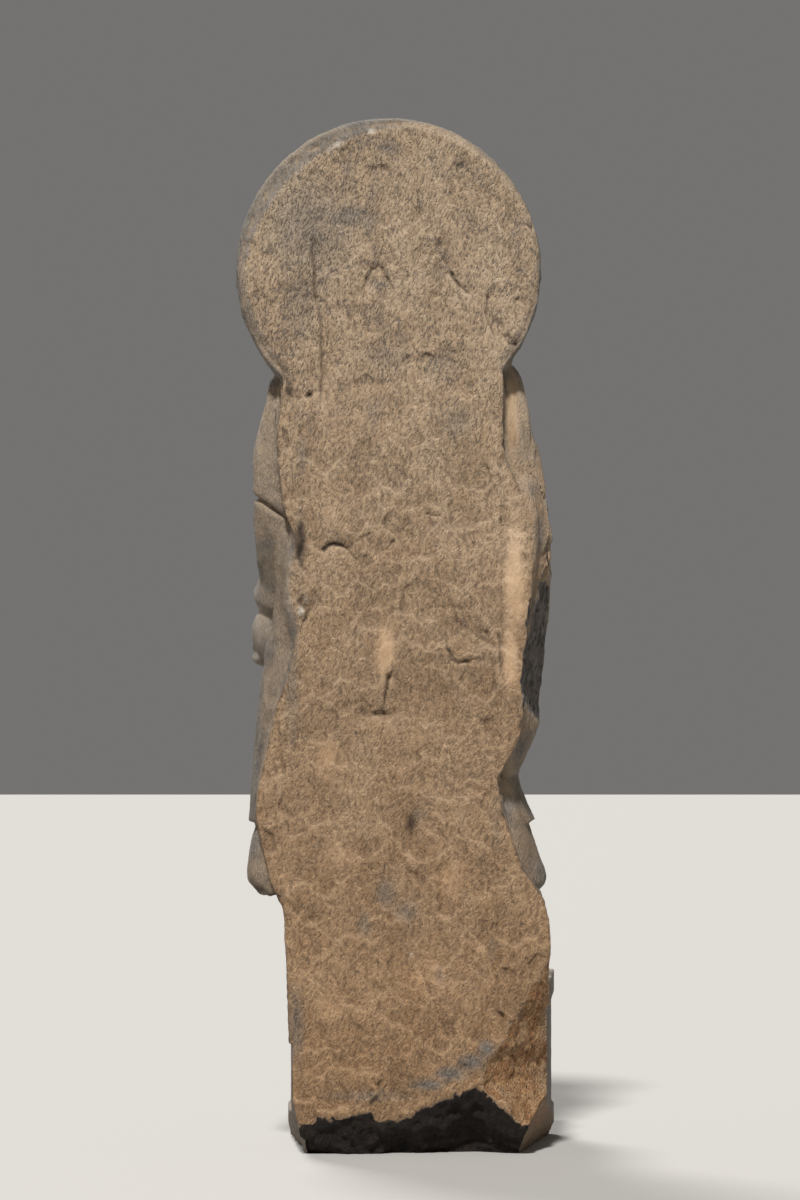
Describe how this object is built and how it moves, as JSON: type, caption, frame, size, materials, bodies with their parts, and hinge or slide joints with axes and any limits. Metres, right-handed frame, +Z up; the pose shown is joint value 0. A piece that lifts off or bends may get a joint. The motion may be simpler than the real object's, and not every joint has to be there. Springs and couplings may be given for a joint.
{
  "type": "standing buddha statue",
  "caption": "Standing robed figure with a round halo, carved with its plinth from one block of stone; the back is left rough.",
  "frame": {"origin": "under the middle of the stone, on the surface that it stands on", "axes": "+Z up; the figure faces -Y and the rough back of the block faces +Y; +X is the figure's own left"},
  "size_m": [0.3244, 0.2109, 1.0385],
  "materials": {
    "schist": "matte grey schist under buff dust"
  },
  "bodies": {
    "root": {"standing_buddha": "schist"}
  },
  "joints": []
}
